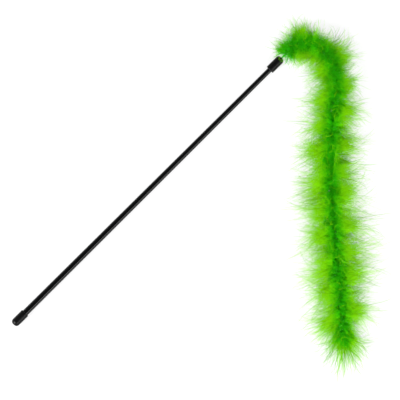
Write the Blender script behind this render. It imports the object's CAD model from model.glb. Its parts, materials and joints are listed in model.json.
"""Looks of the feather cat wand: a glossy black rod with vinyl end caps, and a green marabou boa on a cord.

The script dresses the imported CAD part. The rod, the caps, the knot and the core cord get smooth detailed
pieces, and each plume of the CAD part gets its down: quills, barbs that stand out from them in clumps, and
the barbules of each barb. The down of a link bends with the boa at the joint behind it. Sizes are in metres.
"""

import json
import logging
import math
from dataclasses import dataclass, field
from enum import Enum
from typing import Any, Iterator, Sequence

import bmesh
import bpy
import numpy as np
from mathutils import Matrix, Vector

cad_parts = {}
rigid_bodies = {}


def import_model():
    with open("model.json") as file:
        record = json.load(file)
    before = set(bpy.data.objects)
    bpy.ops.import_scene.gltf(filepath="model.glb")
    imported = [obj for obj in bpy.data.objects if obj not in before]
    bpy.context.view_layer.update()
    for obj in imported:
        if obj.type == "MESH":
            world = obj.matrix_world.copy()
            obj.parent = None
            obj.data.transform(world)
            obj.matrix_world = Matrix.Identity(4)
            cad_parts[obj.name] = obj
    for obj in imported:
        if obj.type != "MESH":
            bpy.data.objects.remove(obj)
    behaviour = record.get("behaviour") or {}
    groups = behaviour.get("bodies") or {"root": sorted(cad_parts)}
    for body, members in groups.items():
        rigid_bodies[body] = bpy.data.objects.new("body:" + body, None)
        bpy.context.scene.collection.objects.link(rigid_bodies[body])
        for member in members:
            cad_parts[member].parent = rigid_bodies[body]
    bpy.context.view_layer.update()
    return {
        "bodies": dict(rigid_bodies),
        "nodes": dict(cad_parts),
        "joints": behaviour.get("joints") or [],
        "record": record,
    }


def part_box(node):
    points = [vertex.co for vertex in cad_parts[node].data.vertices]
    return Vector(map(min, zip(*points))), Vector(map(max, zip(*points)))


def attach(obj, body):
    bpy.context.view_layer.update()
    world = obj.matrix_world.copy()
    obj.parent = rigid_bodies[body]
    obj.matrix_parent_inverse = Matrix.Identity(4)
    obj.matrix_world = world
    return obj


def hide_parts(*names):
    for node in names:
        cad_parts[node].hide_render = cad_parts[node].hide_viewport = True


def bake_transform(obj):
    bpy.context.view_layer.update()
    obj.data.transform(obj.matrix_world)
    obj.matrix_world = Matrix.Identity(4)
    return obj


LOG = logging.getLogger("feather_wand")

Pair = tuple[float, float]
Colour = tuple[float, float, float]
Stops = tuple[tuple[float, Colour], ...]
Outline = list[Pair]
Joints = Sequence[dict[str, Any]]

# Upwards, the angle of a third of a ring, and lengths in metres of gaps, spans and seams
UP = Vector((0.0, 0.0, 1.0))
SIDE_ANGLE = 120.0
FLOOR_CLEARANCE = 0.0004
BEND_SPAN = 0.012
TURNED_SEAM = 1e-6

# Plain numbers: the least turn and length that are divided by, and how far a trefoil of size 1 reaches
LEAST_TURN = 1e-3
SHORTEST = 1e-12
TREFOIL_REACH = 3.0

# Map of the fibres: its name, the width of a hair on it, and the limits of its U and V
DOWN_MAP = "OFBake"
HAIR_MAP_WIDTH = 0.006
SHADE_LIMITS = (0.02, 0.97)
OUT_LIMITS = (0.02, 0.98)

# Grain of the finishes
RIPPLE_DETAIL = 3.0
SCUFF_DETAIL = 4.0
SCUFF_ROUGHNESS = 0.65
SPECK_SIZE = 0.16
DUST_PATCH_SCALE = 180.0
DUST_PATCH_LEVEL = 0.6
STREAK_DETAIL = 2.0


class Side(Enum):
    """Third of the ring of quills round the cord: its plume's name and its first angle, from level left."""

    LEFT = ("left", -30.0)
    RIGHT = ("right", 90.0)
    UNDER = ("under", 210.0)

    @property
    def word(self) -> str:
        """Last word of the plume's node name."""
        return self.value[0]

    @property
    def first_angle(self) -> float:
        """Angle at which the plume starts, in degrees."""
        return self.value[1]


# Numbers and vectors


def between(pair: Pair, share: Any) -> Any:
    """Find what lies at a share of the way from the first number of a pair to the second."""
    return pair[0] + (pair[1] - pair[0]) * share


def unit(vectors: np.ndarray) -> np.ndarray:
    """Scale vectors to a length of 1."""
    return vectors / np.maximum(np.linalg.norm(vectors, axis=-1, keepdims=True), SHORTEST)


# Node trees


@dataclass
class NodeBoard:
    """A node tree with short ways to add nodes and to link them."""

    tree: bpy.types.NodeTree

    def add(self, kind: str, **settings: Any) -> bpy.types.Node:
        """Add a node.

        Args:
            kind: Type of the node, without the leading "ShaderNode".
            settings: Attributes of the node, such as its operation.

        Returns:
            The new node.
        """
        node = self.tree.nodes.new(f"ShaderNode{kind}")
        for key, value in settings.items():
            setattr(node, key, value)
        return node

    def link(self, source: bpy.types.NodeSocket, target: bpy.types.NodeSocket) -> None:
        """Link one socket to another."""
        self.tree.links.new(source, target)

    def math(self, operation: str, first: Any, second: Any = 0.0) -> bpy.types.NodeSocket:
        """Add a Math node.

        Args:
            operation: The node's operation.
            first: Socket or number for the first input.
            second: Socket or number for the second input.

        Returns:
            The node's output socket.
        """
        node = self.add("Math", operation=operation)
        for value, socket in zip((first, second), node.inputs):
            if isinstance(value, bpy.types.NodeSocket):
                self.link(value, socket)
            else:
                socket.default_value = value
        return node.outputs[0]

    def blend_colours(self, share: Any, first: Any, second: Any) -> bpy.types.NodeSocket:
        """Add a colour Mix node.

        Args:
            share: Socket or number for the factor.
            first: Socket or colour for A.
            second: Socket or colour for B.

        Returns:
            The mixed colour's socket.
        """
        node = self.add("Mix", data_type="RGBA")
        factor, a, b = node.inputs[0], node.inputs[6], node.inputs[7]
        for value, socket in ((share, factor), (first, a), (second, b)):
            if isinstance(value, bpy.types.NodeSocket):
                self.link(value, socket)
            elif socket is factor:
                socket.default_value = value
            else:
                socket.default_value = (*value, 1.0)
        return node.outputs[2]

    def between(self, share: bpy.types.NodeSocket, pair: Pair) -> bpy.types.NodeSocket:
        """Add a Math node that finds what lies at a share of the way between two numbers.

        Args:
            share: Socket with the share.
            pair: The two numbers.

        Returns:
            The node's output socket.
        """
        low, high = pair
        found = self.math("MULTIPLY_ADD", share, high - low)
        found.node.inputs[2].default_value = low
        return found

    def ramp(self, position: bpy.types.NodeSocket, stops: Stops) -> bpy.types.NodeSocket:
        """Add a Color Ramp node.

        Args:
            position: Socket that the ramp reads.
            stops: Place and linear colour of each stop, in order.

        Returns:
            The ramp's colour socket.
        """
        node = self.add("ValToRGB")
        elements = node.color_ramp.elements
        while len(elements) < len(stops):
            elements.new(1.0)
        for element, (place, colour) in zip(elements, stops):
            element.position = place
            element.color = (*colour, 1.0)
        self.link(position, node.inputs[0])
        return node.outputs[0]


def new_group(
    name: str, inputs: dict[str, tuple[str, Any]], outputs: dict[str, str]
) -> tuple[NodeBoard, bpy.types.Node, bpy.types.Node]:
    """Make an empty shader node group with named sockets.

    Args:
        name: Name of the group.
        inputs: Kind of socket and default value by name.
        outputs: Kind of socket by name.

    Returns:
        The group's board, its input node and its output node.
    """
    tree = bpy.data.node_groups.new(name, "ShaderNodeTree")
    for label, (kind, value) in inputs.items():
        socket = tree.interface.new_socket(label, in_out="INPUT", socket_type=f"NodeSocket{kind}")
        if value is not None:
            socket.default_value = value
    for label, kind in outputs.items():
        tree.interface.new_socket(label, in_out="OUTPUT", socket_type=f"NodeSocket{kind}")
    return NodeBoard(tree), tree.nodes.new("NodeGroupInput"), tree.nodes.new("NodeGroupOutput")


def moulding_group() -> bpy.types.NodeTree:
    """Make the group that moulded plastic shares: faint ripple, fine scuffs and settled dust.

    Returns:
        A group with outputs for the height, the scuff mask and the dust mask.
    """
    board, given, result = new_group(
        "moulded_surface",
        {
            "Ripple Scale": ("Float", 300.0),
            "Scuff Scale": ("Float", 900.0),
            "Scuff Stretch": ("Vector", (0.04, 1.0, 1.0)),
            "Dust Scale": ("Float", 1500.0),
        },
        {"Height": "Float", "Scuffs": "Float", "Dust": "Float"},
    )
    place = board.add("TexCoord").outputs["Object"]
    ripple = board.add("TexNoise")
    board.link(place, ripple.inputs["Vector"])
    board.link(given.outputs["Ripple Scale"], ripple.inputs["Scale"])
    ripple.inputs["Detail"].default_value = RIPPLE_DETAIL
    stretch = board.add("VectorMath", operation="MULTIPLY")
    board.link(place, stretch.inputs[0])
    board.link(given.outputs["Scuff Stretch"], stretch.inputs[1])
    scuffs = board.add("TexNoise")
    board.link(stretch.outputs[0], scuffs.inputs["Vector"])
    board.link(given.outputs["Scuff Scale"], scuffs.inputs["Scale"])
    scuffs.inputs["Detail"].default_value = SCUFF_DETAIL
    scuffs.inputs["Roughness"].default_value = SCUFF_ROUGHNESS
    specks = board.add("TexVoronoi")
    board.link(place, specks.inputs["Vector"])
    board.link(given.outputs["Dust Scale"], specks.inputs["Scale"])
    dust = board.math("LESS_THAN", specks.outputs["Distance"], SPECK_SIZE)
    patches = board.add("TexNoise")
    board.link(place, patches.inputs["Vector"])
    patches.inputs["Scale"].default_value = DUST_PATCH_SCALE
    settled = board.math("GREATER_THAN", patches.outputs["Fac"], DUST_PATCH_LEVEL)
    dust = board.math("MULTIPLY", dust, settled)
    board.link(ripple.outputs["Fac"], result.inputs["Height"])
    board.link(scuffs.outputs["Fac"], result.inputs["Scuffs"])
    board.link(dust, result.inputs["Dust"])
    return board.tree


def fibre_group() -> bpy.types.NodeTree:
    """Make the group that fibres share: fine streaks along the fibre, read from a map with V along it.

    Returns:
        A group with an output for the streaks, from 0 to 1.
    """
    board, given, result = new_group(
        "fibre_streaks",
        {"Map": ("Vector", None), "Across": ("Float", 300.0), "Along": ("Float", 24.0)},
        {"Streaks": "Float"},
    )
    scales = board.add("CombineXYZ")
    board.link(given.outputs["Across"], scales.inputs[0])
    board.link(given.outputs["Along"], scales.inputs[1])
    stretch = board.add("VectorMath", operation="MULTIPLY")
    board.link(given.outputs["Map"], stretch.inputs[0])
    board.link(scales.outputs[0], stretch.inputs[1])
    streaks = board.add("TexNoise")
    board.link(stretch.outputs[0], streaks.inputs["Vector"])
    streaks.inputs["Scale"].default_value = 1.0
    streaks.inputs["Detail"].default_value = STREAK_DETAIL
    board.link(streaks.outputs["Fac"], result.inputs["Streaks"])
    return board.tree


# Finishes


def new_material(name: str) -> tuple[bpy.types.Material, NodeBoard, bpy.types.Node]:
    """Make a material with one Principled shader.

    Args:
        name: Name of the material.

    Returns:
        The material, its board and its Principled node.
    """
    material = bpy.data.materials.new(name)
    material.use_nodes = True
    board = NodeBoard(material.node_tree)
    return material, board, material.node_tree.nodes["Principled BSDF"]


@dataclass(frozen=True)
class PlasticFinish:
    """Black moulded plastic: glossy on the rod, satin on the vinyl caps."""

    name: str
    colour: Colour
    scuffed_colour: Colour
    dust_colour: Colour
    roughness: Pair
    ripple_scale: float
    ripple_depth: float
    scuff_stretch: tuple[float, float, float]
    shine: float
    bump_strength: float = 0.6

    def build(self, surface: bpy.types.NodeTree) -> bpy.types.Material:
        """Make the material.

        Args:
            surface: The group of moulded surfaces.

        Returns:
            The material.
        """
        material, board, shader = new_material(self.name)
        group = board.add("Group", node_tree=surface)
        group.inputs["Ripple Scale"].default_value = self.ripple_scale
        group.inputs["Scuff Stretch"].default_value = self.scuff_stretch
        colour = board.blend_colours(group.outputs["Scuffs"], self.colour, self.scuffed_colour)
        colour = board.blend_colours(group.outputs["Dust"], colour, self.dust_colour)
        board.link(colour, shader.inputs["Base Color"])
        board.link(board.between(group.outputs["Scuffs"], self.roughness), shader.inputs["Roughness"])
        bump = board.add("Bump")
        bump.inputs["Strength"].default_value = self.bump_strength
        bump.inputs["Distance"].default_value = self.ripple_depth
        board.link(group.outputs["Height"], bump.inputs["Height"])
        board.link(bump.outputs["Normal"], shader.inputs["Normal"])
        shader.inputs["Specular IOR Level"].default_value = self.shine
        return material


@dataclass(frozen=True)
class FibreFinish:
    """Dyed fibre coloured by the piece's own map: U is the shade of a fibre, V is how far out it lies."""

    name: str
    shaded: Stops
    bright: Stops
    streak_colour: Colour
    streak_share: float
    roughness: Pair
    sheen: float
    shine: float
    sheen_roughness: float = 0.4

    def build(self, streaks: bpy.types.NodeTree) -> bpy.types.Material:
        """Make the material.

        Args:
            streaks: The group of fibre streaks.

        Returns:
            The material.
        """
        material, board, shader = new_material(self.name)
        uv = board.add("UVMap", uv_map=DOWN_MAP).outputs["UV"]
        parts = board.add("SeparateXYZ")
        board.link(uv, parts.inputs[0])
        shade, out = parts.outputs[0], parts.outputs[1]
        colour = board.blend_colours(shade, board.ramp(out, self.shaded), board.ramp(out, self.bright))
        group = board.add("Group", node_tree=streaks)
        board.link(uv, group.inputs["Map"])
        share = board.math("MULTIPLY", group.outputs["Streaks"], self.streak_share)
        colour = board.blend_colours(share, colour, self.streak_colour)
        board.link(colour, shader.inputs["Base Color"])
        board.link(board.between(group.outputs["Streaks"], self.roughness), shader.inputs["Roughness"])
        shader.inputs["Sheen Weight"].default_value = self.sheen
        shader.inputs["Sheen Roughness"].default_value = self.sheen_roughness
        shader.inputs["Specular IOR Level"].default_value = self.shine
        return material


GLOSS_ROD = PlasticFinish(
    name="glossy_rod",
    colour=(0.0006, 0.0006, 0.0007),
    scuffed_colour=(0.0014, 0.0014, 0.0016),
    dust_colour=(0.003, 0.003, 0.003),
    roughness=(0.08, 0.13),
    ripple_scale=120.0,
    ripple_depth=0.00002,
    scuff_stretch=(0.03, 1.0, 1.0),
    shine=0.26,
)

SATIN_VINYL = PlasticFinish(
    name="satin_vinyl",
    colour=(0.0007, 0.0007, 0.0008),
    scuffed_colour=(0.0017, 0.0017, 0.0019),
    dust_colour=(0.004, 0.004, 0.004),
    roughness=(0.28, 0.40),
    ripple_scale=900.0,
    ripple_depth=0.00002,
    scuff_stretch=(1.0, 1.0, 1.0),
    shine=0.18,
)

MARABOU = FibreFinish(
    name="green_marabou",
    shaded=(
        (0.00, (0.006, 0.260, 0.001)),
        (0.13, (0.008, 0.300, 0.001)),
        (0.22, (0.030, 0.330, 0.001)),
        (0.34, (0.075, 0.380, 0.001)),
        (1.00, (0.170, 0.520, 0.003)),
    ),
    bright=(
        (0.00, (0.020, 0.690, 0.002)),
        (0.13, (0.032, 0.720, 0.002)),
        (0.22, (0.120, 0.800, 0.002)),
        (0.34, (0.340, 0.940, 0.003)),
        (1.00, (0.500, 1.000, 0.008)),
    ),
    streak_colour=(0.40, 0.95, 0.010),
    streak_share=0.10,
    roughness=(0.60, 0.85),
    sheen=0.0,
    shine=0.03,
)

DYED_COTTON = FibreFinish(
    name="green_cotton",
    shaded=((0.0, (0.012, 0.330, 0.002)), (1.0, (0.020, 0.420, 0.003))),
    bright=((0.0, (0.028, 0.600, 0.004)), (1.0, (0.050, 0.700, 0.006))),
    streak_colour=(0.10, 0.78, 0.01),
    streak_share=0.35,
    roughness=(0.75, 0.95),
    sheen=0.25,
    shine=0.2,
)


@dataclass(frozen=True)
class Finishes:
    """Every finish of the toy, ready for use."""

    rod: bpy.types.Material
    vinyl: bpy.types.Material
    down: bpy.types.Material
    cord: bpy.types.Material

    @classmethod
    def make(cls) -> "Finishes":
        """Build the shared groups and the materials that use them."""
        surface = moulding_group()
        streaks = fibre_group()
        return cls(
            rod=GLOSS_ROD.build(surface),
            vinyl=SATIN_VINYL.build(surface),
            down=MARABOU.build(streaks),
            cord=DYED_COTTON.build(streaks),
        )


# Turned pieces


def arc(centre: Pair, radii: Pair, first: float, last: float, steps: int) -> Outline:
    """Work out points of an elliptic arc in an outline of (distance along, radius).

    Args:
        centre: Centre of the arc.
        radii: Half sizes of the ellipse along and across.
        first: Angle of the first point.
        last: Angle of the last point.
        steps: Number of spans.

    Returns:
        The points, both ends included.
    """
    turns = [first + (last - first) * step / steps for step in range(steps + 1)]
    return [(centre[0] + radii[0] * math.cos(turn), centre[1] + radii[1] * math.sin(turn)) for turn in turns]


def turned(outline: Sequence[Pair], axis: Vector, sides: int) -> bmesh.types.BMesh:
    """Spin an outline round a line along X.

    Args:
        outline: Points as (world X, radius), round the solid from one end of the axis to the other.
        axis: A point that the axis passes through.
        sides: Number of sides of the full turn.

    Returns:
        The closed mesh, with its faces outwards.
    """
    bm = bmesh.new()
    verts = [bm.verts.new((x, axis.y, axis.z + radius)) for x, radius in outline]
    edges = [bm.edges.new(pair) for pair in zip(verts, verts[1:])]
    if outline[0][1] > 0.0:
        edges.append(bm.edges.new((verts[-1], verts[0])))
    bmesh.ops.spin(
        bm,
        geom=verts + edges,
        cent=(0.0, axis.y, axis.z),
        axis=(1.0, 0.0, 0.0),
        angle=math.tau,
        steps=sides,
        use_merge=True,
        use_duplicate=False,
    )
    bmesh.ops.remove_doubles(bm, verts=bm.verts, dist=TURNED_SEAM)
    bmesh.ops.recalc_face_normals(bm, faces=bm.faces)
    return bm


def add_piece(name: str, mesh: bpy.types.Mesh, material: bpy.types.Material) -> bpy.types.Object:
    """Add a mesh to the scene as a piece at the origin.

    Args:
        name: Name of the piece.
        mesh: Its mesh, in place.
        material: Its material.

    Returns:
        The piece.
    """
    mesh.name = name
    mesh.materials.append(material)
    piece = bpy.data.objects.new(name, mesh)
    bpy.context.scene.collection.objects.link(piece)
    return piece


def finish_turned(
    name: str, bm: bmesh.types.BMesh, material: bpy.types.Material, sharp: float
) -> bpy.types.Object:
    """Turn a bmesh into a smooth shaded piece that keeps its sharp edges.

    Args:
        name: Name of the piece.
        bm: Its mesh, which is freed.
        material: Its material.
        sharp: Angle between faces above which an edge stays sharp.

    Returns:
        The piece.
    """
    mesh = bpy.data.meshes.new(name)
    bm.to_mesh(mesh)
    bm.free()
    mesh.shade_smooth()
    mesh.set_sharp_from_angle(angle=sharp)
    return add_piece(name, mesh, material)


@dataclass
class Wand:
    """The stick with its caps: a tapered rod, the handle cap and the tip cap with its hole for the cord."""

    axis: Vector = field(default_factory=lambda: Vector((0.0, 0.1369, 0.0046)))
    sides: int = 72
    rod_chamfer: float = 0.0003
    rod_rings: int = 48
    rod_diameters: Pair = (0.0072, 0.0053)
    cap_radius: float = 0.0046
    dome_length: float = 0.0039
    dome_steps: int = 14
    flat_radius: float = 0.0012
    hole_rim: float = 0.0004
    lip_radius: float = 0.0006
    lip_steps: int = 5
    gate_radius: float = 0.0005
    gate_floor: float = 0.7
    gate_depth: float = 0.00015
    handle_bore: float = 0.0078
    handle_wall: float = 0.0026
    tip_bore: float = 0.0060
    tip_wall: float = 0.0018
    hole_radius: float = 0.0013
    sharp: float = math.radians(50)

    def rod_outline(self) -> Outline:
        """Outline of the rod, with rings along its taper."""
        low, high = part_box("rod")
        butt, tip = (diameter / 2 for diameter in self.rod_diameters)
        start, stop = low.x + self.rod_chamfer, high.x - self.rod_chamfer
        points = [(low.x, 0.0), (low.x, butt - self.rod_chamfer)]
        for ring in range(self.rod_rings + 1):
            share = ring / self.rod_rings
            points.append((start + (stop - start) * share, butt + (tip - butt) * share))
        return points + [(high.x, tip - self.rod_chamfer), (high.x, 0.0)]

    def cap_wall(self, length: float, bore: float, flat: float) -> Outline:
        """Outside of a cap from its dome to its rounded mouth.

        Args:
            length: Length of the cap.
            bore: Radius of its bore.
            flat: Radius of the flat on its dome.

        Returns:
            Points as (distance from the closed end, radius).
        """
        radius, lip, dome = self.cap_radius, self.lip_radius, self.dome_length
        points = arc((dome, flat), (dome, radius - flat), math.pi, math.pi / 2, self.dome_steps)
        points += arc((length - lip, radius - lip), (lip, lip), math.pi / 2, 0.0, self.lip_steps)
        return points + [(length, bore)]

    def handle_cap_outline(self) -> Outline:
        """Outline of the closed cap, with the small dimple of its moulding gate."""
        low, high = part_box("handle_cap")
        bore = self.handle_bore / 2
        gate = [(self.gate_depth, 0.0), (self.gate_depth, self.gate_radius * self.gate_floor)]
        gate += [(0.0, self.gate_radius)]
        points = gate + self.cap_wall(high.x - low.x, bore, self.flat_radius)
        points += [(self.handle_wall, bore), (self.handle_wall, 0.0)]
        return [(low.x + along, across) for along, across in points]

    def tip_cap_outline(self) -> Outline:
        """Outline of the cap that the cord leaves through."""
        low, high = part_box("tip_cap")
        bore = self.tip_bore / 2
        rim = self.hole_radius + self.hole_rim
        points = [(0.0, self.hole_radius)] + self.cap_wall(high.x - low.x, bore, rim)
        points += [(self.tip_wall, bore), (self.tip_wall, self.hole_radius)]
        return [(high.x - along, across) for along, across in points]

    def build(self, finishes: Finishes) -> Iterator[bpy.types.Object]:
        """Make the three pieces and let them ride on the wand.

        Args:
            finishes: The toy's finishes.

        Yields:
            Each piece.
        """
        parts = (
            ("rod", self.rod_outline(), finishes.rod, "rod"),
            ("handle_cap", self.handle_cap_outline(), finishes.vinyl, "vinyl"),
            ("tip_cap", self.tip_cap_outline(), finishes.vinyl, "vinyl"),
        )
        for node, outline, material, slot in parts:
            solid = turned(outline, self.axis, self.sides)
            piece = finish_turned(f"{node}_smooth", solid, material, self.sharp)
            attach(piece, "wand")
            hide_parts(node)
            yield piece


# Line of the boa


@dataclass(frozen=True)
class Centreline:
    """The smooth line that the core cord follows through the bends of the boa, sampled closely."""

    places: np.ndarray
    distances: np.ndarray
    stops: np.ndarray

    @classmethod
    def through(cls, points: Sequence[Vector], spans: int) -> "Centreline":
        """Lay a Catmull-Rom curve through the points.

        Args:
            points: The bends of the boa and the end of its cord.
            spans: Number of samples between two points.

        Returns:
            The line.
        """
        ends = [points[0] * 2 - points[1], *points, points[-1] * 2 - points[-2]]
        share = np.linspace(0.0, 1.0, spans, endpoint=False)[:, None]
        runs = []
        for before, start, stop, after in zip(ends, ends[1:], ends[2:], ends[3:]):
            a, b, c, d = (np.array(point) for point in (before, start, stop, after))
            bend = 2 * a - 5 * b + 4 * c - d
            twist = 3 * b - a - 3 * c + d
            runs.append(0.5 * (2 * b + (c - a) * share + bend * share**2 + twist * share**3))
        places = np.vstack(runs + [np.array(points[-1])[None]])
        steps = np.linalg.norm(np.diff(places, axis=0), axis=1)
        distances = np.concatenate([[0.0], np.cumsum(steps)])
        return cls(places, distances, distances[::spans])

    @property
    def length(self) -> float:
        """Length of the cord."""
        return float(self.distances[-1])

    def at(self, along: np.ndarray) -> tuple[np.ndarray, np.ndarray, np.ndarray, np.ndarray]:
        """Find the place and the frame of the line at some distances along it.

        Args:
            along: Distances from the first bend. Past the end, the line goes straight on.

        Returns:
            Places, and the directions ahead, to the level left and up, one row each.
        """
        place = np.stack([np.interp(along, self.distances, axis) for axis in self.places.T], -1)
        slopes = np.gradient(self.places, self.distances, axis=0)
        ahead = np.stack([np.interp(along, self.distances, axis) for axis in slopes.T], -1)
        ahead /= np.linalg.norm(ahead, axis=-1, keepdims=True)
        beyond = np.maximum(along - self.length, 0.0) + np.minimum(along, 0.0)
        place = place + ahead * beyond[..., None]
        left = np.cross(np.array(UP), ahead)
        left /= np.linalg.norm(left, axis=-1, keepdims=True)
        return place, ahead, left, np.cross(ahead, left)

    def bend_radius(self, along: np.ndarray) -> np.ndarray:
        """Find the radius of the line's bend, seen from above, on its right side.

        Args:
            along: Distances from the first bend.

        Returns:
            The radius at each distance, large where the line doesn't bend to the right.
        """
        _, before, _, _ = self.at(along - BEND_SPAN)
        _, after, left, _ = self.at(along + BEND_SPAN)
        turn = -np.einsum("ij,ij->i", after - before, left)
        return 2 * BEND_SPAN / np.maximum(turn, LEAST_TURN)


# Hair shapes


@dataclass(frozen=True)
class HairShape:
    """A closed hair or quill with few sides: the ring and the corner of each vertex, and its faces."""

    rings: np.ndarray
    corners: np.ndarray
    faces: list[tuple[int, ...]]

    @classmethod
    def grow(cls, spans: int, sides: int = 3) -> "HairShape":
        """Extrude a small face along the hair and pull its last ring to a point.

        Args:
            spans: Number of spans from the root to the tip.
            sides: Number of sides.

        Returns:
            The shape.
        """
        bm = bmesh.new()
        bmesh.ops.create_circle(bm, cap_ends=True, segments=sides, radius=1.0)
        bmesh.ops.reverse_faces(bm, faces=bm.faces)
        face = bm.faces[:][0]
        for _ in range(spans):
            grown = bmesh.ops.extrude_face_region(bm, geom=[face])["geom"]
            verts = [item for item in grown if isinstance(item, bmesh.types.BMVert)]
            bmesh.ops.translate(bm, verts=verts, vec=(0.0, 0.0, 1.0))
            old, face = face, next(item for item in grown if isinstance(item, bmesh.types.BMFace))
            if old.is_valid and len(bm.faces) > sides + 2:
                bmesh.ops.delete(bm, geom=[old], context="FACES_ONLY")
        bmesh.ops.pointmerge(bm, verts=list(face.verts), merge_co=(0.0, 0.0, float(spans)))
        bmesh.ops.recalc_face_normals(bm, faces=bm.faces)
        bm.verts.index_update()
        places = np.array([vert.co[:] for vert in bm.verts])
        faces = [tuple(vert.index for vert in face.verts) for face in bm.faces]
        bm.free()
        return cls(np.round(places[:, 2]).astype(int), places[:, :2], faces)


@dataclass
class HairMesh:
    """Hairs of one piece, gathered as arrays and made one mesh at the end."""

    verts: list[np.ndarray] = field(default_factory=list)
    counts: list[np.ndarray] = field(default_factory=list)
    loops: list[np.ndarray] = field(default_factory=list)
    maps: list[np.ndarray] = field(default_factory=list)
    total: int = 0

    def add(
        self,
        shape: HairShape,
        paths: np.ndarray,
        radii: np.ndarray,
        shade: np.ndarray,
        out: np.ndarray,
        roll: np.ndarray,
    ) -> None:
        """Lay a copy of the shape along each path.

        Args:
            shape: The hair to repeat.
            paths: Points of each hair, as hairs by rings by 3.
            radii: Radius at each point.
            shade: Place of each hair on the map's U.
            out: Place of each point on the map's V.
            roll: A direction for each hair that its first corner leans to.
        """
        ahead = unit(np.gradient(paths, axis=1))
        side = unit(np.cross(ahead, roll[:, None, :]))
        other = np.cross(ahead, side)
        ring = shape.rings
        across = side[:, ring] * shape.corners[:, 0, None] + other[:, ring] * shape.corners[:, 1, None]
        verts = paths[:, ring] + across * radii[:, ring, None]
        number, size = verts.shape[:2]
        self.verts.append(verts.reshape(-1, 3))
        flat = np.concatenate([np.array(face) for face in shape.faces])
        starts = (np.arange(number) * size + self.total)[:, None]
        self.loops.append((starts + flat).ravel())
        self.counts.append(np.tile([len(face) for face in shape.faces], number))
        corner = (np.arctan2(shape.corners[:, 1], shape.corners[:, 0]) / math.tau) % 1.0
        u = shade[:, None] + corner[flat] * HAIR_MAP_WIDTH
        v = out[:, ring[flat]]
        self.maps.append(np.stack([u, v], -1).reshape(-1, 2))
        self.total += number * size

    def finish(self, name: str, material: bpy.types.Material) -> bpy.types.Object:
        """Make the piece.

        Args:
            name: Name of the piece.
            material: Its material.

        Returns:
            The piece, shaded smooth.
        """
        mesh = bpy.data.meshes.new(name)
        verts = np.concatenate(self.verts).astype(np.float32)
        verts[:, 2] = np.maximum(verts[:, 2], FLOOR_CLEARANCE / 2)
        loops = np.concatenate(self.loops).astype(np.int32)
        counts = np.concatenate(self.counts).astype(np.int32)
        mesh.vertices.add(len(verts))
        mesh.vertices.foreach_set("co", verts.ravel())
        mesh.loops.add(len(loops))
        mesh.loops.foreach_set("vertex_index", loops)
        mesh.polygons.add(len(counts))
        starts = np.concatenate([[0], np.cumsum(counts)[:-1]])
        mesh.polygons.foreach_set("loop_start", starts.astype(np.int32))
        layer = mesh.uv_layers.new(name=DOWN_MAP, do_init=False)
        layer.data.foreach_set("uv", np.concatenate(self.maps).astype(np.float32).ravel())
        mesh.update(calc_edges=True)
        mesh.shade_smooth()
        return add_piece(name, mesh, material)


# Down


@dataclass(frozen=True)
class Reach:
    """How far the down reaches from the cord along the boa."""

    first: float = 0.020
    full: float = 0.0390
    growth: float = 0.22
    growth_power: float = 0.8
    last: float = 0.0300
    decay: float = 0.030

    def at(self, along: np.ndarray, length: float) -> np.ndarray:
        """Find the usual longest reach.

        Args:
            along: Distances from the first bend.
            length: Length of the cord.

        Returns:
            The reach at each distance.
        """
        grown = np.clip(along / self.growth, 0.0, 1.0) ** self.growth_power
        left = np.clip((length - along) / self.decay, 0.0, 1.0)
        return np.minimum(between((self.first, self.full), grown), between((self.last, self.full), left))


@dataclass(frozen=True)
class Coat:
    """One kind of barb in the down: how many, how long, how they gather and how unruly they are.

    Lengths are shares of the reach at the root, or metres where they are fixed, as in the fluff and wisps.
    Spreads are in degrees.
    """

    to_a_metre: float
    clump: int
    length: Pair
    skew: float
    spans: int
    barbules: int
    web: float
    pull: Pair
    parting: float
    lean_spread: Pair
    sweep_spread: Pair
    droop_spread: Pair
    droop: float
    crossing: float
    curl: float
    stout: float
    tone: float
    tone_spread: Pair
    out_share: float = 1.0
    out_base: float = 0.0
    fixed_length: bool = False
    lift: Pair = (0.0, 0.0)


FLUFF = Coat(
    to_a_metre=7600.0,
    clump=12,
    length=(0.0035, 0.0105),
    skew=1.0,
    spans=3,
    barbules=6,
    web=0.8,
    pull=(0.0, 0.4),
    parting=0.9,
    lean_spread=(24.0, 16.0),
    sweep_spread=(20.0, 24.0),
    droop_spread=(26.0, 18.0),
    droop=0.60,
    crossing=0.55,
    curl=0.0026,
    stout=1.3,
    tone=0.55,
    tone_spread=(0.34, 0.08),
    out_share=0.36,
    fixed_length=True,
    lift=(0.0, 0.0075),
)

WISP = Coat(
    to_a_metre=260.0,
    clump=2,
    length=(0.0075, 0.0135),
    skew=1.0,
    spans=5,
    barbules=3,
    web=0.30,
    pull=(0.0, 0.3),
    parting=0.6,
    lean_spread=(40.0, 20.0),
    sweep_spread=(45.0, 25.0),
    droop_spread=(20.0, 12.0),
    droop=0.70,
    crossing=0.60,
    curl=0.0050,
    stout=1.9,
    tone=0.95,
    tone_spread=(0.04, 0.03),
    out_base=0.30,
    fixed_length=True,
    lift=(0.0, 0.0095),
)

UNDERCOAT = Coat(
    to_a_metre=9200.0,
    clump=8,
    length=(0.34, 1.00),
    skew=1.2,
    spans=4,
    barbules=18,
    web=1.15,
    pull=(0.05, 0.50),
    parting=1.9,
    lean_spread=(14.0, 11.0),
    sweep_spread=(20.0, 15.0),
    droop_spread=(12.0, 9.0),
    droop=0.90,
    crossing=0.35,
    curl=0.0026,
    stout=1.15,
    tone=0.78,
    tone_spread=(0.12, 0.07),
    lift=(0.0, 0.004),
)

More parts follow.
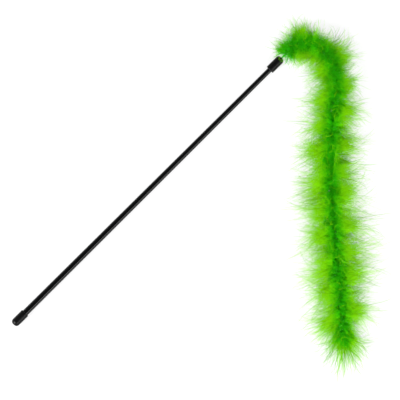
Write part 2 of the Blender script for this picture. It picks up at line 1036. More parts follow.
GUARD = Coat(
    to_a_metre=4400.0,
    clump=7,
    length=(0.55, 1.46),
    skew=1.4,
    spans=6,
    barbules=18,
    web=1.1,
    pull=(0.15, 0.70),
    parting=2.1,
    lean_spread=(15.0, 9.0),
    sweep_spread=(24.0, 13.0),
    droop_spread=(13.0, 7.0),
    droop=1.0,
    crossing=0.25,
    curl=0.0044,
    stout=1.30,
    tone=0.84,
    tone_spread=(0.13, 0.08),
)

FLYAWAY = Coat(
    to_a_metre=760.0,
    clump=2,
    length=(0.90, 1.58),
    skew=1.2,
    spans=7,
    barbules=6,
    web=0.35,
    pull=(0.0, 0.6),
    parting=1.6,
    lean_spread=(22.0, 9.0),
    sweep_spread=(34.0, 14.0),
    droop_spread=(14.0, 8.0),
    droop=1.0,
    crossing=0.25,
    curl=0.0052,
    stout=2.2,
    tone=0.26,
    tone_spread=(0.10, 0.06),
)


@dataclass(frozen=True)
class Barbules:
    """The fine side hairs of a barb: where they start, how they open, and how far they reach.

    Spots are shares of the barb's length, and the opening is in degrees.
    """

    radius: float = 0.000084
    length: Pair = (0.0015, 0.0038)
    first_spot: float = 0.06
    spot_span: float = 0.93
    opening: Pair = (25.0, 62.0)
    root_reach: float = 1.15
    reach_loss: float = 0.75
    stout_spread: Pair = (0.7, 1.2)
    tip_share: float = 0.2
    paleness: float = 0.22
    out_drift: float = 0.04


@dataclass(frozen=True)
class TailCoat:
    """One kind of barb in the loose tuft: its clumps, its lengths and the widest angle to the cord's line."""

    coat: Coat
    clumps: int
    length: Pair
    widest: float


@dataclass(frozen=True)
class Tail:
    """The loose tuft past the end of the cord. Openings are in degrees and the turn's scatter in radians."""

    coats: tuple[TailCoat, ...] = (
        TailCoat(FLUFF, 90, (0.004, 0.010), 90.0),
        TailCoat(UNDERCOAT, 14, (0.009, 0.021), 85.0),
        TailCoat(GUARD, 12, (0.020, 0.046), 66.0),
        TailCoat(FLYAWAY, 60, (0.028, 0.056), 60.0),
    )
    start_range: float = 0.004
    start_scatter: float = 0.0008
    turn_scatter: float = 0.2
    opening_scatter: float = 6.0
    opening_limits: Pair = (1.0, 85.0)
    length_shares: Pair = (0.7, 0.3)
    wide_loss: float = 0.25
    wide_opening: float = 70.0
    tone_spread: Pair = (0.12, 0.07)


@dataclass
class Down:
    """The marabou down: how its coats grow from the cord, clump and curl, and how its barbules lie.

    Leans, the droop and the scatter of angles are in degrees. A lean at an end comes with the length over
    which it fades.
    """

    line: Centreline
    wand: Wand
    reach: Reach = field(default_factory=Reach)
    barbules: Barbules = field(default_factory=Barbules)
    tail_tuft: Tail = field(default_factory=Tail)
    coats: tuple[Coat, ...] = (FLUFF, WISP, UNDERCOAT, GUARD, FLYAWAY)
    root_radius: float = 0.0016
    root_spread: Pair = (0.4, 1.3)
    root_scatter: float = 0.0013
    angle_scatter: float = 11.0
    first_root: float = 0.0062
    shaft_radius: float = 0.000108
    tip_radius: float = 0.000034
    taper_power: float = 1.3
    stout_spread: Pair = (0.7, 1.3)
    shade_scale: float = 0.040
    flat_shade: float = 0.65
    patch_shade: float = 0.22
    slow_waves: Pair = (97.0, 41.0)
    fast_waves: Pair = (263.0, 151.0)
    patch_weights: tuple[float, float, float] = (0.5, 0.4, 0.35)
    calm_height: float = 0.0330
    top_height: float = 0.0408
    cap_clearance: float = 0.0004
    floor_scatter: float = 0.0012
    length_shares: Pair = (0.6, 0.4)
    top_loss: float = 0.32
    bend_share: float = 0.92
    shortest_in_bend: float = 0.010
    bend_side: float = -0.3
    lean: float = 9.0
    lean_at_end: Pair = (36.0, 0.028)
    lean_at_start: Pair = (24.0, 0.012)
    droop: float = 9.0
    droop_keep: Pair = (0.30, 0.12)
    sweep_power: float = 1.5
    gather_power: float = 1.9
    gather_spread: Pair = (0.5, 1.0)
    curl_waves: Pair = (0.3, 1.3)
    curl_spread: Pair = (0.2, 1.0)
    tuft_depth: float = 0.18
    tuft_pitch: float = 215.0
    tuft_twist: float = 1.9
    tuft_wander: Pair = (0.9, 71.0)
    tuft_lean: float = 22.0
    tuft_shade: float = 0.12
    quills: int = 4
    quill_spans: int = 6
    quill_sides: int = 8
    quill_length: float = 0.012
    quill_radii: Pair = (0.00036, 0.00010)
    quill_rise: Pair = (0.0011, 0.0028)
    quill_scatter: float = 0.6
    quill_turns: Pair = (0.1, 0.9)
    quill_shade: float = 0.9
    seed: int = 7
    link_seed: int = 31
    side_seed: int = 1009
    tail_seed: int = 5003

    def __post_init__(self) -> None:
        """Make the hair and quill shapes that the down repeats."""
        self.shapes = {spans: HairShape.grow(spans) for spans in {1, *(coat.spans for coat in self.coats)}}
        self.quill_shape = HairShape.grow(self.quill_spans, self.quill_sides)

    def patches(self, along: np.ndarray, angle: np.ndarray) -> np.ndarray:
        """Find the slow change of shade over the boa, from about -1 to 1."""
        one, two = self.slow_waves
        slow = np.sin(along * one + 2.0 * np.sin(angle + 0.7)) * np.cos(angle + along * two)
        one, two = self.fast_waves
        fast = np.sin(along * one + 1.3 * angle) * np.cos(angle * 3.0 - along * two)
        slow_weight, fast_weight, side_weight = self.patch_weights
        return slow_weight * slow + fast_weight * fast + side_weight * np.cos(angle)

    def tufts(self, along: np.ndarray, angle: np.ndarray) -> np.ndarray:
        """Find each root's place in its tuft, as an angle whose sine is 1 in a tuft's middle."""
        size, waves = self.tuft_wander
        wander = size * np.sin(along * waves + angle)
        return along * self.tuft_pitch + self.tuft_twist * np.cos(angle) + wander

    def directions(
        self, elevation: np.ndarray, side: np.ndarray, lean: np.ndarray, frame: Sequence[np.ndarray]
    ) -> np.ndarray:
        """Turn elevations and leans into directions.

        Args:
            elevation: Angle above the level, for each hair and point.
            side: 1 for hairs that go left, -1 for hairs that go right.
            lean: Angle ahead, for each hair and point.
            frame: The line's directions ahead, left and up at each hair.

        Returns:
            Unit directions, as hairs by points by 3.
        """
        ahead, left, up = (axis[:, None, :] for axis in frame)
        out = left * (side[:, None] * np.cos(elevation))[..., None] + up * np.sin(elevation)[..., None]
        return out * np.cos(lean)[..., None] + ahead * np.sin(lean)[..., None]

    def spread(self, rng: np.random.Generator, number: int, clump: int, degrees: Pair) -> np.ndarray:
        """Draw angles that the hairs of a clump partly share.

        Args:
            rng: Source of random numbers.
            number: Number of hairs.
            clump: Number of hairs in a clump.
            degrees: Spread of the clumps and spread of the hairs in a clump.

        Returns:
            Angles in radians.
        """
        shared = np.repeat(rng.normal(0.0, degrees[0], number // clump), clump)
        return np.radians(shared + rng.normal(0.0, degrees[1], number))

    def paths(
        self,
        rng: np.random.Generator,
        coat: Coat,
        along: np.ndarray,
        angle: np.ndarray,
        length: np.ndarray,
        lean: np.ndarray,
    ) -> np.ndarray:
        """Grow hairs outwards from the cord, drooping to the sides and resting on the surface below.

        Args:
            rng: Source of random numbers.
            coat: The kind of barb.
            along: Distance of each root from the first bend.
            angle: Angle of each hair round the cord, from level left.
            length: Length of each hair.
            lean: Angle at which each hair leans ahead.

        Returns:
            Points, as hairs by points by 3.
        """
        number = len(along)
        place, ahead, left, up = self.line.at(along)
        side = np.where(np.cos(angle) >= 0.0, 1.0, -1.0)
        first = np.arcsin(np.clip(np.sin(angle), -1.0, 1.0))
        final = first * np.where(first > 0.0, *self.droop_keep) - math.radians(self.droop)
        final = first + (final - first) * coat.droop + self.spread(rng, number, coat.clump, coat.droop_spread)
        upright = np.maximum(np.sin(first), 0.0) ** 2
        goal = np.where(rng.uniform(0.0, 1.0, number) < coat.crossing * upright, -side, side)
        share = np.linspace(0.0, 1.0, coat.spans + 1)[None, 1:]
        eased = share * share * (3.0 - 2.0 * share)
        elevation = first[:, None] + (final - first)[:, None] * eased
        sweep = self.spread(rng, number, coat.clump, coat.sweep_spread)
        leans = lean[:, None] + sweep[:, None] * share**self.sweep_power
        ways = self.directions(elevation, goal, leans, (ahead, left, up))
        root_way = self.directions(first[:, None], side, lean[:, None] * 0.5, (ahead, left, up))[:, 0]
        points = np.empty((number, coat.spans + 1, 3))
        start = self.root_radius * rng.uniform(*self.root_spread, number) + rng.uniform(*coat.lift, number)
        points[:, 0] = place + root_way * start[:, None]
        step = length / coat.spans
        for index in range(coat.spans):
            points[:, index + 1] = points[:, index] + ways[:, index] * step[:, None]
            low = points[:, index + 1, 2] < FLOOR_CLEARANCE
            points[low, index + 1, 2] = FLOOR_CLEARANCE + rng.uniform(0.0, self.floor_scatter, low.sum())
        points = self.gather(rng, points, coat)
        return self.curl(rng, points, coat.curl)

    def gather(self, rng: np.random.Generator, points: np.ndarray, coat: Coat) -> np.ndarray:
        """Pull the tips of each clump together, across the clump's middle line.

        Args:
            rng: Source of random numbers.
            points: Points of the hairs, clump after clump.
            coat: The kind of barb.

        Returns:
            The moved points.
        """
        clumps = points.reshape(-1, coat.clump, *points.shape[1:])
        middle = clumps.mean(axis=1, keepdims=True)
        way = unit(middle[:, :, -1:] - middle[:, :, :1])
        across = clumps - middle
        across = across - way * (across * way).sum(-1, keepdims=True)
        share = np.linspace(0.0, 1.0, points.shape[1]) ** self.gather_power
        strength = rng.uniform(*coat.pull, (len(clumps), 1, 1, 1)) * share[None, None, :, None]
        strength = strength * rng.uniform(*self.gather_spread, (len(clumps), coat.clump, 1, 1))
        return (clumps - across * strength).reshape(points.shape)

    def curl(self, rng: np.random.Generator, points: np.ndarray, size: float) -> np.ndarray:
        """Give each hair a soft wave of its own.

        Args:
            rng: Source of random numbers.
            points: Points of the hairs.
            size: Greatest sideways move at the tip.

        Returns:
            The moved points.
        """
        number, count = points.shape[:2]
        share = np.linspace(0.0, 1.0, count)[None, :]
        chord = unit(points[:, -1] - points[:, 0])
        across = unit(np.cross(chord, rng.normal(size=(number, 3))))
        waves = rng.uniform(*self.curl_waves, number)[:, None]
        phase = rng.uniform(0.0, math.tau, number)[:, None]
        swing = np.sin(share * waves * math.tau + phase) - np.sin(phase)
        swing = swing * share * (size * rng.uniform(*self.curl_spread, number))[:, None]
        return self.settle(points + across[:, None, :] * swing[..., None])

    def settle(self, points: np.ndarray) -> np.ndarray:
        """Bend what stands high down by its weight, rest what hangs low on the surface, and clear the cap.

        Args:
            points: Points of the hairs, which are moved.

        Returns:
            The same points.
        """
        height = points[..., 2]
        room = self.top_height - self.calm_height
        over = np.maximum(height - self.calm_height, 0.0)
        height = np.minimum(height, self.calm_height) + room * (1.0 - np.exp(-over / room))
        points[..., 2] = np.maximum(height, FLOOR_CLEARANCE)
        return self.clear_cap(points)

    def clear_cap(self, points: np.ndarray) -> np.ndarray:
        """Push what would pass through the tip cap out to its skin, and only sideways below its middle.

        Args:
            points: Points of the hairs, which are moved.

        Returns:
            The same points.
        """
        wand, end = self.wand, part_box("tip_cap")[1].x
        share = np.clip((points[..., 0] - end + wand.dome_length) / wand.dome_length, 0.0, 1.0)
        neck = wand.hole_radius + wand.hole_rim
        skin = neck + (wand.cap_radius - neck) * np.sqrt(1.0 - share**2) + self.cap_clearance
        aside, above = points[..., 1] - wand.axis.y, points[..., 2] - wand.axis.z
        far = np.hypot(aside, above)
        inside = (points[..., 0] < end + self.cap_clearance) & (far < skin)
        grown = skin / np.maximum(far, SHORTEST)
        level = np.copysign(np.sqrt(np.maximum(skin**2 - above**2, 0.0)), aside)
        upper = above > 0.0
        across = np.where(upper, aside * grown, level)
        points[..., 1] = np.where(inside, wand.axis.y + across, points[..., 1])
        points[..., 2] = np.where(inside & upper, wand.axis.z + above * grown, points[..., 2])
        return points

    def lay(
        self,
        mesh: HairMesh,
        rng: np.random.Generator,
        coat: Coat,
        points: np.ndarray,
        shade: np.ndarray,
        along: np.ndarray,
    ) -> None:
        """Add barbs and their barbules to a piece.

        Args:
            mesh: The piece's hairs.
            rng: Source of random numbers.
            coat: The kind of barb.
            points: Points of the barbs.
            shade: Shade of each barb, from 0 to 1.
            along: Distance of each root from the first bend.
        """
        number, count = points.shape[:2]
        shade = np.clip(shade, *SHADE_LIMITS)
        place, _, _, up = (axis[:, None] for axis in self.line.at(along))
        away = points - place
        away -= up * (away * up).sum(-1, keepdims=True) * self.flat_shade
        out = np.linalg.norm(away, axis=-1) / self.shade_scale
        out = np.clip(out * coat.out_share + coat.out_base, *OUT_LIMITS)
        share = np.linspace(0.0, 1.0, count) ** self.taper_power
        taper = between((self.shaft_radius, self.tip_radius), share)
        radii = taper[None, :] * (coat.stout * rng.uniform(*self.stout_spread, number))[:, None]
        mesh.add(self.shapes[coat.spans], points, radii, shade, out, rng.normal(size=(number, 3)))
        self.lay_barbules(mesh, rng, coat, points, shade, out)

    def lay_barbules(
        self,
        mesh: HairMesh,
        rng: np.random.Generator,
        coat: Coat,
        points: np.ndarray,
        shade: np.ndarray,
        out: np.ndarray,
    ) -> None:
        """Add the barbules of barbs to a piece.

        Args:
            mesh: The piece's hairs.
            rng: Source of random numbers.
            coat: The kind of barb.
            points: Points of the barbs.
            shade: Shade of each barb, from 0 to 1.
            out: How far out each point lies, from 0 to 1.
        """
        kind, each = self.barbules, coat.barbules
        number, count = points.shape[:2]
        spots = (np.arange(each) + rng.uniform(0.0, 1.0, (number, each))) / each
        spots = kind.first_spot + kind.spot_span * spots
        place = spots * (count - 1)
        low = np.minimum(place.astype(int), count - 2)
        part = place - low
        rows = np.arange(number)[:, None]
        step = points[rows, low + 1] - points[rows, low]
        start = points[rows, low] + step * part[..., None]
        ahead = unit(step)
        across = unit(np.cross(ahead, rng.normal(size=(number, each, 3))))
        opening = np.radians(rng.uniform(*kind.opening, (number, each)))[..., None]
        way = ahead * np.cos(opening) + across * np.sin(opening)
        reach = coat.web * rng.uniform(*kind.length, (number, each))
        reach = reach * (kind.root_reach - kind.reach_loss * spots**2)
        stop = self.settle(start + way * reach[..., None])
        far = out[rows, low] + (out[rows, low + 1] - out[rows, low]) * part
        far = np.stack([far, np.clip(far + kind.out_drift, 0.0, OUT_LIMITS[1])], -1).reshape(-1, 2)
        thick = kind.radius * rng.uniform(*kind.stout_spread, number * each)
        radii = np.stack([thick, thick * kind.tip_share], -1)
        rolls = rng.normal(size=(number * each, 3))
        paler = np.repeat(np.minimum(shade + kind.paleness, SHADE_LIMITS[1]), each)
        ends = np.stack([start, stop], 2).reshape(-1, 2, 3)
        mesh.add(self.shapes[1], ends, radii, paler, far, rolls)

    def round_angles(self, rng: np.random.Generator, side: Side, number: int, parting: float) -> np.ndarray:
        """Choose angles round the cord for a plume's clumps.

        Args:
            rng: Source of random numbers.
            side: The plume's third of the ring.
            number: Number of angles.
            parting: How much thinner the down is along the top. At 1 it has no parting.

        Returns:
            Angles in radians, from level left.
        """
        share = (rng.permutation(number) + rng.uniform(0.0, 1.0, number)) / number
        if side is Side.LEFT:
            share = share**parting
        if side is Side.RIGHT:
            share = 1.0 - share**parting
        return np.radians(side.first_angle + SIDE_ANGLE * share)

    def lengths(
        self, rng: np.random.Generator, coat: Coat, along: np.ndarray, angle: np.ndarray
    ) -> np.ndarray:
        """Choose the lengths of hairs, longer in a tuft's middle, shorter on top and inside a bend.

        Args:
            rng: Source of random numbers.
            coat: The kind of barb.
            along: Distance of each root from the first bend.
            angle: Angle of each hair round the cord.

        Returns:
            The lengths.
        """
        number = len(along)
        shared, own = self.length_shares
        share = np.repeat(rng.uniform(0.0, 1.0, number // coat.clump), coat.clump) * shared
        share = (share + rng.uniform(0.0, own, number)) ** coat.skew
        length = between(coat.length, share)
        if coat.fixed_length:
            return length
        length = length * self.reach.at(along, self.line.length)
        length *= 1.0 - self.top_loss * np.maximum(np.sin(angle), 0.0) ** 2
        length *= 1.0 + self.tuft_depth * np.sin(self.tufts(along, angle))
        limit = np.maximum(self.bend_share * self.line.bend_radius(along), self.shortest_in_bend)
        return np.where(np.cos(angle) < self.bend_side, np.minimum(length, limit), length)

    def grow(
        self, mesh: HairMesh, rng: np.random.Generator, coat: Coat, start: float, stop: float, side: Side
    ) -> None:
        """Grow one coat of a plume.

        Args:
            mesh: The piece's hairs.
            rng: Source of random numbers.
            coat: The kind of barb.
            start: Where the plume starts along the boa.
            stop: Where it stops.
            side: The plume's third of the ring.
        """
        clumps = max(2, round((stop - start) * coat.to_a_metre / coat.clump))
        number = clumps * coat.clump
        middle = start + (stop - start) * (np.arange(clumps) + rng.uniform(0.0, 1.0, clumps)) / clumps
        along = np.repeat(middle, coat.clump) + rng.normal(0.0, self.root_scatter, number)
        along = np.maximum(along, self.first_root)
        angle = np.repeat(self.round_angles(rng, side, clumps, coat.parting), coat.clump)
        angle = angle + rng.normal(0.0, math.radians(self.angle_scatter), number)
        lean = math.radians(self.lean) + self.spread(rng, number, coat.clump, coat.lean_spread)
        more, length = self.lean_at_end
        lean += math.radians(more) * np.clip(1.0 - (self.line.length - along) / length, 0.0, 1.0)
        less, length = self.lean_at_start
        lean -= math.radians(less) * np.clip(1.0 - (along - self.first_root) / length, 0.0, 1.0)
        tuft = self.tufts(along, angle)
        lean += math.radians(self.tuft_lean) * np.cos(tuft)
        points = self.paths(rng, coat, along, angle, self.lengths(rng, coat, along, angle), lean)
        tones = coat.tone + self.patch_shade * self.patches(along, angle) + self.tuft_shade * np.sin(tuft)
        tones += np.repeat(rng.normal(0.0, coat.tone_spread[0], clumps), coat.clump)
        tones += rng.normal(0.0, coat.tone_spread[1], number)
        self.lay(mesh, rng, coat, points, tones, along)

    def bind(
        self, mesh: HairMesh, rng: np.random.Generator, start: float, stop: float, side: Side
    ) -> None:
        """Lay the plume's quills along the cord, with their tips a little away from it.

        Args:
            mesh: The piece's hairs.
            rng: Source of random numbers.
            start: Where the plume starts along the boa.
            stop: Where it stops.
            side: The plume's third of the ring.
        """
        number = self.quills
        spots = np.arange(number) + rng.uniform(0.0, self.quill_scatter, number)
        along = start + (stop - start) * spots / number
        angle = np.radians(side.first_angle + SIDE_ANGLE * rng.uniform(*self.quill_turns, number))
        place, ahead, left, up = self.line.at(along)
        away = left * np.cos(angle)[:, None] + up * np.sin(angle)[:, None]
        share = np.linspace(0.0, 1.0, self.quill_shape.rings.max() + 1)
        rise = between(self.quill_rise, share**2)
        points = place[:, None] + away[:, None] * rise[:, None]
        points = points + ahead[:, None] * (share * self.quill_length)[:, None]
        radii = np.tile(between(self.quill_radii, share), (number, 1))
        out = np.tile(rise / self.shade_scale, (number, 1))
        mesh.add(self.quill_shape, points, radii, np.full(number, self.quill_shade), out, away)

    def plume(self, link: int, side: Side, material: bpy.types.Material) -> bpy.types.Object:
        """Grow the down of one plume.

        Args:
            link: Number of the boa's link, from 1.
            side: The plume's third of the ring.
            material: Material of the down.

        Returns:
            The piece, which rides on nothing yet.
        """
        seed = self.seed + self.link_seed * link + self.side_seed * list(Side).index(side)
        rng = np.random.default_rng(seed)
        start, stop = max(self.line.stops[link - 1], self.first_root), self.line.stops[link]
        mesh = HairMesh()
        for coat in self.coats:
            self.grow(mesh, rng, coat, start, stop, side)
        self.bind(mesh, rng, start, stop, side)
        return mesh.finish(f"down_{link:02d}_{side.word}", material)

    def tail(self, material: bpy.types.Material) -> bpy.types.Object:
        """Grow the loose tuft past the end of the cord.

        Args:
            material: Material of the down.

        Returns:
            The piece, which rides on nothing yet.
        """
        rng = np.random.default_rng(self.seed + self.tail_seed)
        mesh, tuft, end = HairMesh(), self.tail_tuft, self.line.length
        narrowest, steepest = tuft.opening_limits
        shared, own = tuft.length_shares
        for kind in tuft.coats:
            coat, clumps, clump = kind.coat, kind.clumps, kind.coat.clump
            number = clumps * clump
            middle = end + rng.uniform(-tuft.start_range, tuft.start_range, clumps)
            along = np.repeat(middle, clump) + rng.normal(0.0, tuft.start_scatter, number)
            turn = rng.uniform(0.0, math.tau, clumps)
            angle = np.repeat(turn, clump) + rng.normal(0.0, tuft.turn_scatter, number)
            opening = np.repeat(rng.uniform(narrowest, kind.widest, clumps), clump)
            opening = opening + rng.normal(0.0, tuft.opening_scatter, number)
            share = np.repeat(rng.uniform(0.0, 1.0, clumps), clump) * shared
            longest = between(kind.length, share + rng.uniform(0.0, own, number))
            longest *= 1.0 - tuft.wide_loss * np.clip(opening / tuft.wide_opening, 0.0, 1.0)
            ways = np.radians(90.0 - np.clip(opening, narrowest, steepest))
            points = self.paths(rng, coat, along, angle, longest, ways)
            clump_tone, hair_tone = tuft.tone_spread
            tones = coat.tone + np.repeat(rng.normal(0.0, clump_tone, clumps), clump)
            tones = tones + rng.normal(0.0, hair_tone, number)
            self.lay(mesh, rng, coat, points, tones, along)
        return mesh.finish("down_tail", material)


# Core cord


@dataclass
class CoreCord:
    """The twisted cotton cord in the middle of the boa, and the knot that holds it in the tip cap."""

    line: Centreline
    plies: int = 3
    ply_radius: float = 0.00052
    lay_radius: float = 0.00047
    turn_length: float = 0.0062
    step: float = 0.0005
    fewest_points: int = 4
    overlap: float = 0.0006
    seam: float = 1e-7
    smoothness: int = 2
    map_across: Pair = (61.0, 47.0)
    map_along: Pair = (13.0, 90.0)
    map_size: float = 0.9
    map_margin: float = 0.02
    knot_radius: float = 0.0023
    knot_points: int = 96
    knot_depth: float = 1.4
    knot_overlap: float = 0.5

    def map_place(self, place: Vector) -> Pair:
        """Find the map's U and V at a place, in a pattern that repeats through space."""
        u = place.x * self.map_across[0] + place.y * self.map_across[1]
        v = place.x * self.map_along[0] + place.z * self.map_along[1]
        return u % self.map_size + self.map_margin, v % self.map_size + self.map_margin

    def tube(self, curves: Sequence[np.ndarray], name: str, material: bpy.types.Material) -> bpy.types.Object:
        """Make round cords along some lines, as one mesh with a map that repeats through space.

        Args:
            curves: Points of each line.
            name: Name of the piece.
            material: Its material.

        Returns:
            The piece.
        """
        curve = bpy.data.curves.new(name, "CURVE")
        curve.dimensions = "3D"
        curve.bevel_depth = self.ply_radius
        curve.bevel_resolution = self.smoothness
        curve.use_fill_caps = True
        for points in curves:
            spline = curve.splines.new("POLY")
            spline.points.add(len(points) - 1)
            spline.points.foreach_set("co", np.column_stack([points, np.ones(len(points))]).ravel())
        holder = bpy.data.objects.new(name, curve)
        bpy.context.scene.collection.objects.link(holder)
        graph = bpy.context.evaluated_depsgraph_get()
        mesh = bpy.data.meshes.new_from_object(holder.evaluated_get(graph))
        bpy.data.objects.remove(holder)
        bm = bmesh.new()
        bm.from_mesh(mesh)
        bmesh.ops.remove_doubles(bm, verts=bm.verts, dist=self.seam)
        bmesh.ops.recalc_face_normals(bm, faces=bm.faces)
        layer = bm.loops.layers.uv.get("UVMap") or bm.loops.layers.uv.verify()
        for face in bm.faces:
            for loop in face.loops:
                loop[layer].uv = self.map_place(loop.vert.co)
        bm.to_mesh(mesh)
        bm.free()
        mesh.uv_layers[0].name = DOWN_MAP
        mesh.materials.clear()
        mesh.shade_smooth()
        return add_piece(name, mesh, material)

    def strands(self, start: float, stop: float) -> list[np.ndarray]:
        """Work out the plies of a stretch of cord.

        Args:
            start: Where the stretch starts along the boa.
            stop: Where it stops.

        Returns:
            Points of each ply.
        """
        along = np.linspace(start, stop, max(self.fewest_points, round((stop - start) / self.step)))
        place, _, left, up = self.line.at(along)
        found = []
        for ply in range(self.plies):
            turn = along / self.turn_length * math.tau + ply * math.tau / self.plies
            ring = left * np.cos(turn)[:, None] + up * np.sin(turn)[:, None]
            found.append(place + ring * self.lay_radius)
        return found

    def link(self, number: int, material: bpy.types.Material) -> bpy.types.Object:
        """Make the cord of one link.

        Args:
            number: Number of the link, from 1.
            material: Material of the cord.

        Returns:
            The piece, which rides on nothing yet.
        """
        start = self.line.stops[number - 1] - (self.overlap if number > 1 else 0.0)
        return self.tube(self.strands(start, self.line.stops[number]), f"cord_{number:02d}", material)

    def knot(self, wand: Wand, material: bpy.types.Material) -> bpy.types.Object:
        """Make the knot in the tip cap, with the cord that passes through the cap's hole.

        Args:
            wand: The wand, for the cap's place.
            material: Material of the cord.

        Returns:
            The piece.
        """
        low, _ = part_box("cord_knot")
        turn = np.linspace(0.0, math.tau, self.knot_points)
        size = (self.knot_radius - self.ply_radius) / TREFOIL_REACH
        aside, above = np.sin(turn) + 2 * np.sin(2 * turn), np.cos(turn) - 2 * np.cos(2 * turn)
        loop = np.stack([np.sin(3 * turn) * self.knot_depth, aside, above], -1)
        middle = np.array((low.x + self.knot_radius, wand.axis.y, wand.axis.z))
        start = middle[0] + self.knot_radius * self.knot_overlap - self.line.places[0][0]
        tail = self.strands(start, self.overlap)
        return self.tube([middle + loop * size, *tail], "cord_knot_tied", material)


# Boa


@dataclass
class Boa:
    """The boa: its cord and its down, link by link."""

    cord_end: Vector = field(default_factory=lambda: Vector((0.0088, -0.1152, 0.0110)))
    bend_share: float = 0.5
    line_spans: int = 24

    def points(self, joints: Joints) -> list[Vector]:
        """List the bends of the boa and the end of its cord.

        Args:
            joints: The frame's joints.

        Returns:
            The points, from the tip cap on.
        """
        bends = [Vector(joint["pos_m"]) for joint in joints if joint["name"].startswith("boa_")]
        return bends + [self.cord_end]

    def attach(
        self, piece: bpy.types.Object, number: int, bends: Sequence[Vector], slot: str, *nodes: str
    ) -> bpy.types.Object:
        """Let a piece of one link bend at the joint behind it.

        Args:
            piece: The piece.
            number: Number of its link, from 1.
            bends: The bends of the boa.
            slot: Material slot of the record.
            nodes: CAD nodes that the piece stands for.

        Returns:
            The piece.
        """
        start, stop = bends[number - 1], bends[number]
        start.lerp(stop, self.bend_share)
        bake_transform(piece)
        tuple(start)
        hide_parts(*nodes)
        return piece

    def build(self, wand: Wand, finishes: Finishes, joints: Joints) -> Iterator[bpy.types.Object]:
        """Make the boa.

        Args:
            wand: The wand that it hangs from.
            finishes: The toy's finishes.
            joints: The frame's joints.

        Yields:
            Each piece.
        """
        bends = self.points(joints)
        line = Centreline.through(bends, self.line_spans)
        cord, down = CoreCord(line), Down(line, wand)
        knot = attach(cord.knot(wand, finishes.cord), "knotted_cord")
        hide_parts("cord_knot")
        yield knot
        for number in range(1, len(bends)):
            core = cord.link(number, finishes.cord)
            yield self.attach(core, number, bends, "cord", f"core_cord_{number:02d}")
            for side in Side:
                plume = down.plume(number, side, finishes.down)
                yield self.attach(plume, number, bends, "down", f"plume_{number:02d}_{side.word}")
        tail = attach(down.tail(finishes.down), "boa_12")
        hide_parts("tail_tuft")
        yield tail


# Studio


@dataclass
class SoftBox:
    """A rectangular lamp that faces the toy."""

    name: str
    place: tuple[float, float, float]
    size: tuple[float, float]
    power: float

    def light(self, aim: Vector) -> None:
        """Hang the lamp and turn it to the aim.

        Args:
            aim: Point that the lamp faces.
        """
        lamp = bpy.data.lights.new(self.name, "AREA")
        lamp.shape = "RECTANGLE"
        lamp.size, lamp.size_y = self.size
        lamp.energy = self.power
        holder = bpy.data.objects.new(self.name, lamp)
        holder.location = self.place
        holder.rotation_euler = (aim - Vector(self.place)).to_track_quat("-Z", "Y").to_euler()
        bpy.context.scene.collection.objects.link(holder)


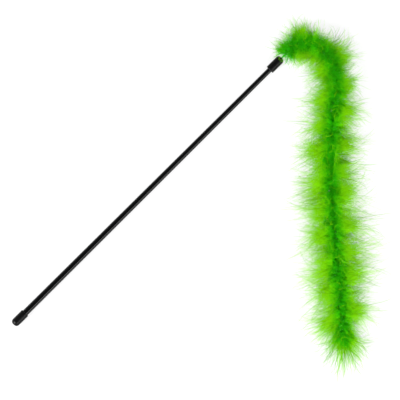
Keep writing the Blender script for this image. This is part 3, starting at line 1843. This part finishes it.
@dataclass
class Studio:
    """The pale floor, the room, the soft lamps and the camera that looks straight down."""

    image_centre: Vector = field(default_factory=lambda: Vector((0.0023, 0.0915, 0.010)))
    image_width: float = 0.420
    image_turn: float = math.radians(-44.83)
    lens: float = 300.0
    sensor: float = 36.0
    floor_size: float = 6.0
    floor_colour: Colour = (0.28, 0.28, 0.28)
    floor_roughness: float = 0.9
    floor_glow: float = 0.72
    room_light: Stops = (
        (0.00, (0.55, 0.55, 0.55)),
        (0.28, (0.55, 0.55, 0.55)),
        (0.50, (0.26, 0.26, 0.26)),
        (1.00, (0.08, 0.08, 0.08)),
    )
    boxes: tuple[SoftBox, ...] = (
        SoftBox("box_handle_end", (-1.25, 0.55, 0.90), (0.6, 0.6), 34.0),
        SoftBox("box_tip_end", (1.35, 0.10, 1.25), (1.1, 1.1), 13.0),
        SoftBox("box_low_side", (0.0, -0.95, 0.84), (1.6, 0.48), 15.5),
    )

    def camera(self) -> None:
        """Hang the camera over the middle of the image."""
        data = bpy.data.cameras.new("camera")
        data.lens = self.lens
        data.sensor_width = self.sensor
        height = self.image_width * self.lens / self.sensor
        camera = bpy.data.objects.new("camera", data)
        camera.location = self.image_centre + UP * height
        camera.rotation_euler = (0.0, 0.0, self.image_turn)
        bpy.context.scene.collection.objects.link(camera)
        bpy.context.scene.camera = camera

    def seen_directly(self, board: NodeBoard) -> bpy.types.NodeSocket:
        """Make the mask of rays on which the floor glows: from the camera, off gloss and through glass.

        Args:
            board: Board of the floor's material.

        Returns:
            The mask's socket.
        """
        path = board.add("LightPath").outputs
        seen = board.math("MAXIMUM", path["Is Camera Ray"], path["Is Transmission Ray"])
        return board.math("MAXIMUM", seen, path["Is Glossy Ray"])

    def floor(self) -> None:
        """Lay the pale floor, which glows and also takes light and shadow."""
        bm = bmesh.new()
        bmesh.ops.create_grid(bm, x_segments=1, y_segments=1, size=self.floor_size / 2)
        mesh = bpy.data.meshes.new("floor")
        bm.to_mesh(mesh)
        bm.free()
        material, board, shader = new_material("pale_floor")
        shader.inputs["Base Color"].default_value = (*self.floor_colour, 1.0)
        shader.inputs["Roughness"].default_value = self.floor_roughness
        shader.inputs["Specular IOR Level"].default_value = 0.0
        shader.inputs["Emission Color"].default_value = (1.0, 1.0, 1.0, 1.0)
        glow = board.math("MULTIPLY", self.seen_directly(board), self.floor_glow)
        board.link(glow, shader.inputs["Emission Strength"])
        add_piece("floor", mesh, material)

    def world(self) -> None:
        """Make the room: light grey round the sides and dark overhead."""
        world = bpy.data.worlds.new("studio")
        world.use_nodes = True
        bpy.context.scene.world = world
        board = NodeBoard(world.node_tree)
        height = board.add("SeparateXYZ")
        board.link(board.add("TexCoord").outputs["Generated"], height.inputs[0])
        light = board.ramp(height.outputs[2], self.room_light)
        board.link(light, world.node_tree.nodes["Background"].inputs["Color"])

    def build(self) -> None:
        """Set up the camera, the floor, the room and the lamps."""
        self.camera()
        self.floor()
        self.world()
        for box in self.boxes:
            box.light(self.image_centre)
        bpy.context.scene.view_settings.view_transform = "Standard"


def main() -> None:
    """Build the looks round the frame and note the sizes of the CAD part and of the visual model."""
    logging.basicConfig(level=logging.INFO, format="%(message)s")
    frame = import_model()
    Studio().build()
    finishes = Finishes.make()
    wand, boa = Wand(), Boa()
    for piece in wand.build(finishes):
        LOG.info("wand: %s, %d faces", piece.name, len(piece.data.polygons))
    for piece in boa.build(wand, finishes, frame["joints"]):
        LOG.info("boa: %s, %d faces", piece.name, len(piece.data.polygons))


if __name__ == "__main__":
    main()
